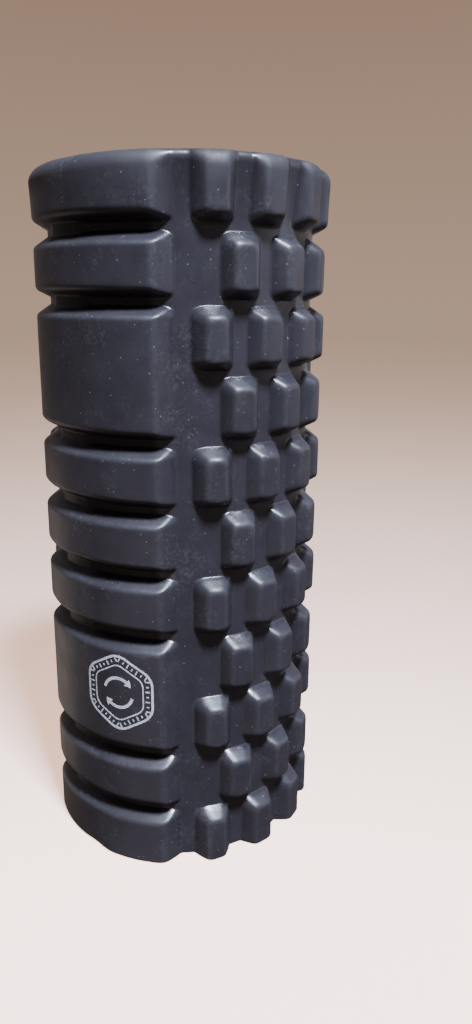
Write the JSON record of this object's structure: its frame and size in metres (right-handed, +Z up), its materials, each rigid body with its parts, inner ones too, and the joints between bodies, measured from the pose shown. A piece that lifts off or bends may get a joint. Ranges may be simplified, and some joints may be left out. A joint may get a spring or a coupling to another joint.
{
  "type": "foam roller",
  "caption": "Upright hollow-core massage roller with a moulded foam sleeve of staggered blocks, flat channels and long ribbed bars.",
  "frame": {"origin": "centre of the lower end, on the roller's axis", "axes": "+Z up along the roller's axis, -Y towards the flat strip between the bars and the blocks, +X towards the block field"},
  "size_m": [0.1392, 0.1382, 0.33],
  "materials": {
    "charcoal_foam": "dull moulded closed-cell foam",
    "black_plastic": "satin extruded tube",
    "contact_adhesive": "cured amber glue",
    "pale_ink": "matte printed ink"
  },
  "bodies": {
    "root": {"core_tube": "black_plastic", "adhesive_film": "contact_adhesive", "foam_sheet_front": "charcoal_foam", "foam_sheet_back": "charcoal_foam", "seam_glue_left": "contact_adhesive", "seam_glue_right": "contact_adhesive", "printed_mark": "pale_ink"}
  },
  "joints": []
}
